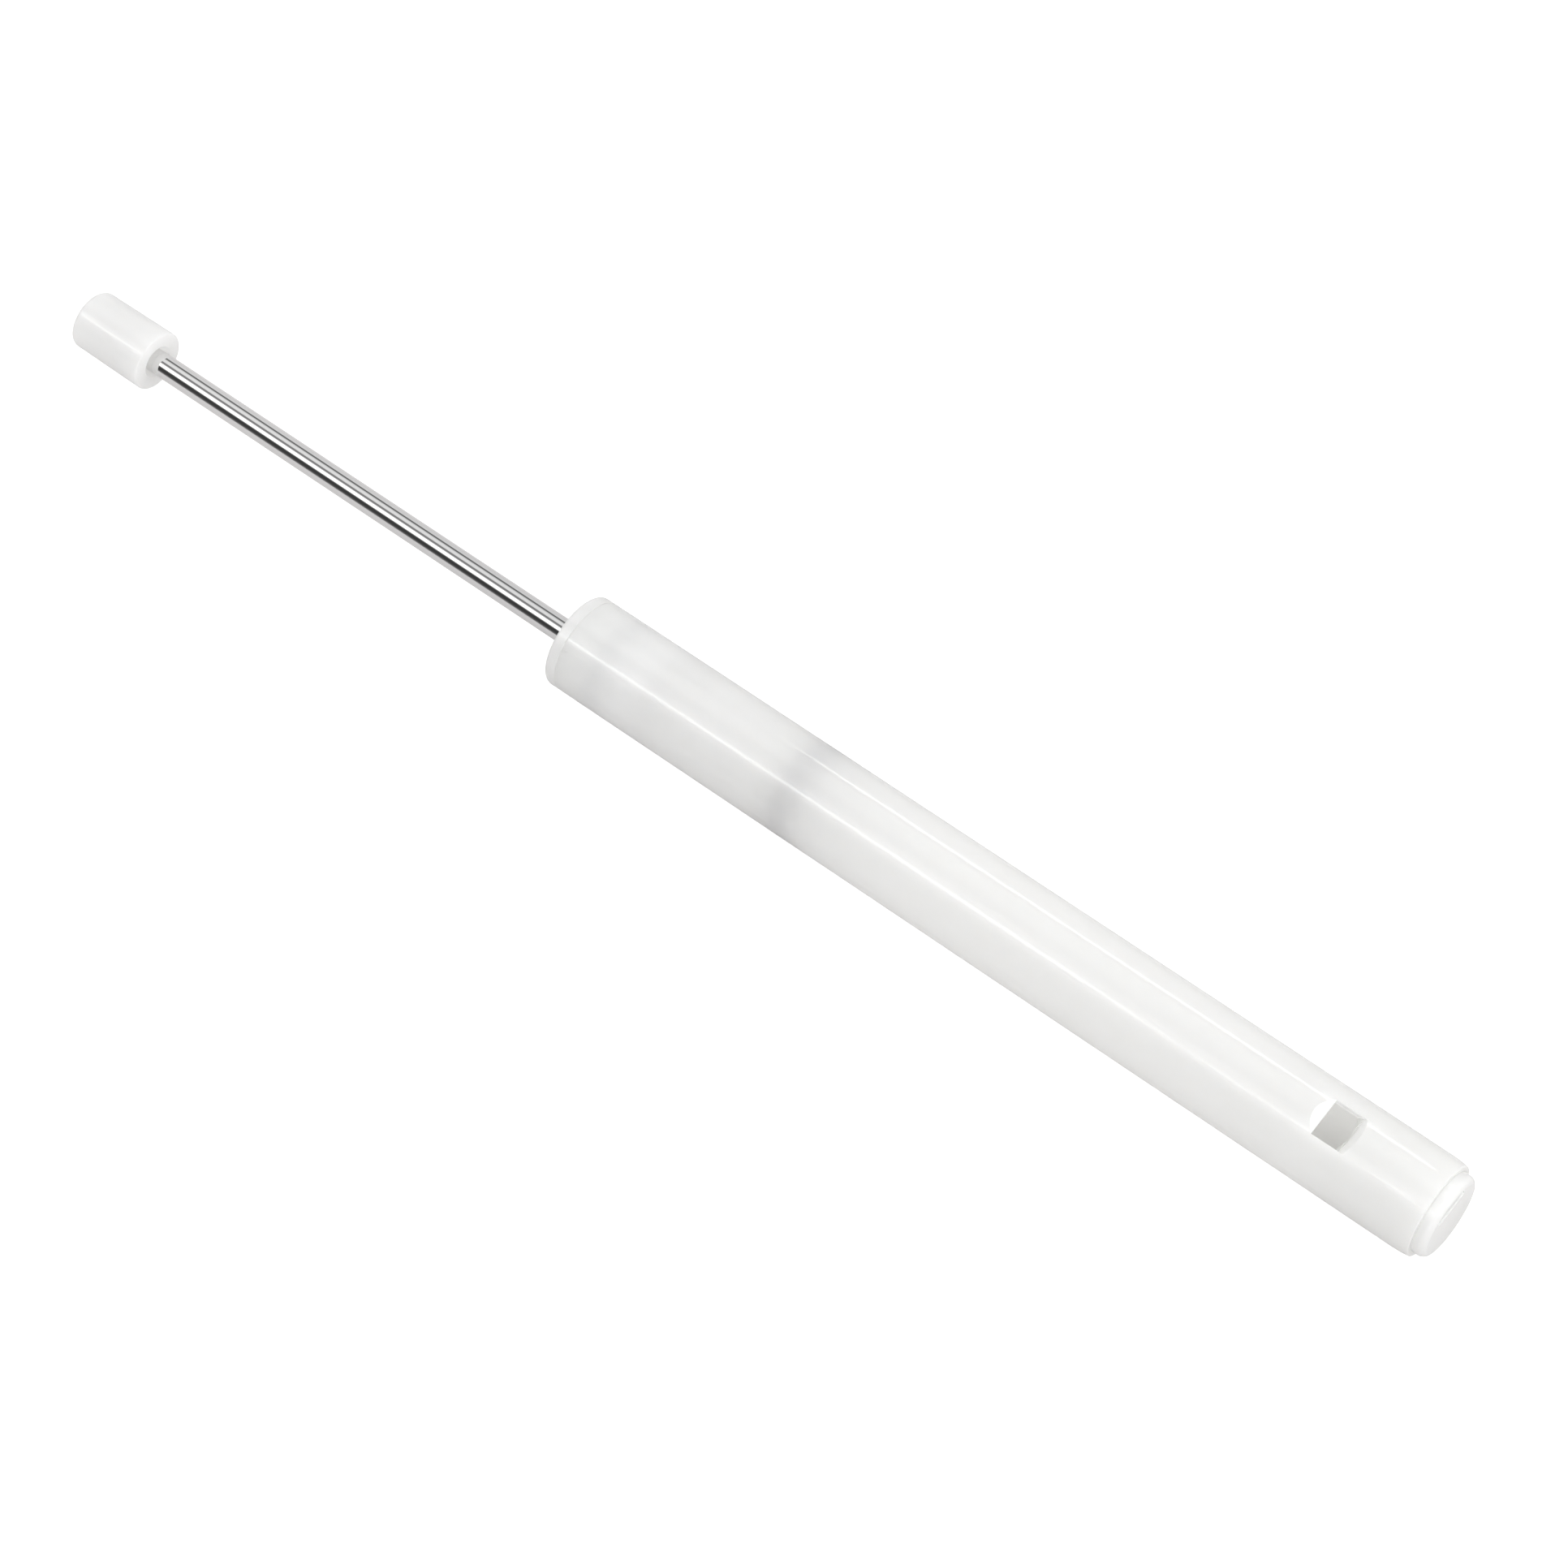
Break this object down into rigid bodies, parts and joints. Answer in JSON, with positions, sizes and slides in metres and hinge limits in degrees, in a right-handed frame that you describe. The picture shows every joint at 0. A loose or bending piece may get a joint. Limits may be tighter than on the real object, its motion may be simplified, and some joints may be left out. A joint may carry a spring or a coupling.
{
  "type": "slide whistle",
  "caption": "Hand-held slide whistle: round translucent plastic barrel with windway and sound window, steel slide rod with sealed piston, pull knob.",
  "frame": {"origin": "centre of the mouthpiece's flat front face, on the barrel's axis", "axes": "+X along the barrel from the mouthpiece to the pull knob, +Z out of the sound window"},
  "size_m": [0.3196, 0.019, 0.019],
  "materials": {
    "barrel_plastic": "milky translucent, moulded gloss",
    "mouthpiece_plastic": "milky translucent, moulded gloss",
    "cap_plastic": "milky translucent, moulded gloss",
    "knob_plastic": "milky translucent, moulded gloss",
    "hub_plastic": "moulded satin",
    "seal_rubber": "moulded matt",
    "bumper_felt": "pressed felt",
    "rod_steel": "mirror polished",
    "nut_steel": "machined",
    "washer_steel": "stamped"
  },
  "bodies": {
    "barrel": {"barrel_tube": "barrel_plastic", "mouthpiece_block": "mouthpiece_plastic", "end_cap": "cap_plastic", "bumper_ring": "bumper_felt"},
    "piston": {"piston_hub": "hub_plastic", "piston_seal": "seal_rubber", "seal_washer": "washer_steel"},
    "slide": {"slide_rod": "rod_steel", "piston_nut": "nut_steel", "knob": "knob_plastic"}
  },
  "joints": [
    {"name": "slide_travel", "type": "slide", "parent": "barrel", "child": "piston", "axis": [1, 0, 0], "range_m": [-0.106, 0.0342]},
    {"name": "slide_spin", "type": "hinge", "parent": "piston", "child": "slide", "pos_m": [0.1496, 0, 0], "axis": [1, 0, 0], "continuous": true}
  ]
}
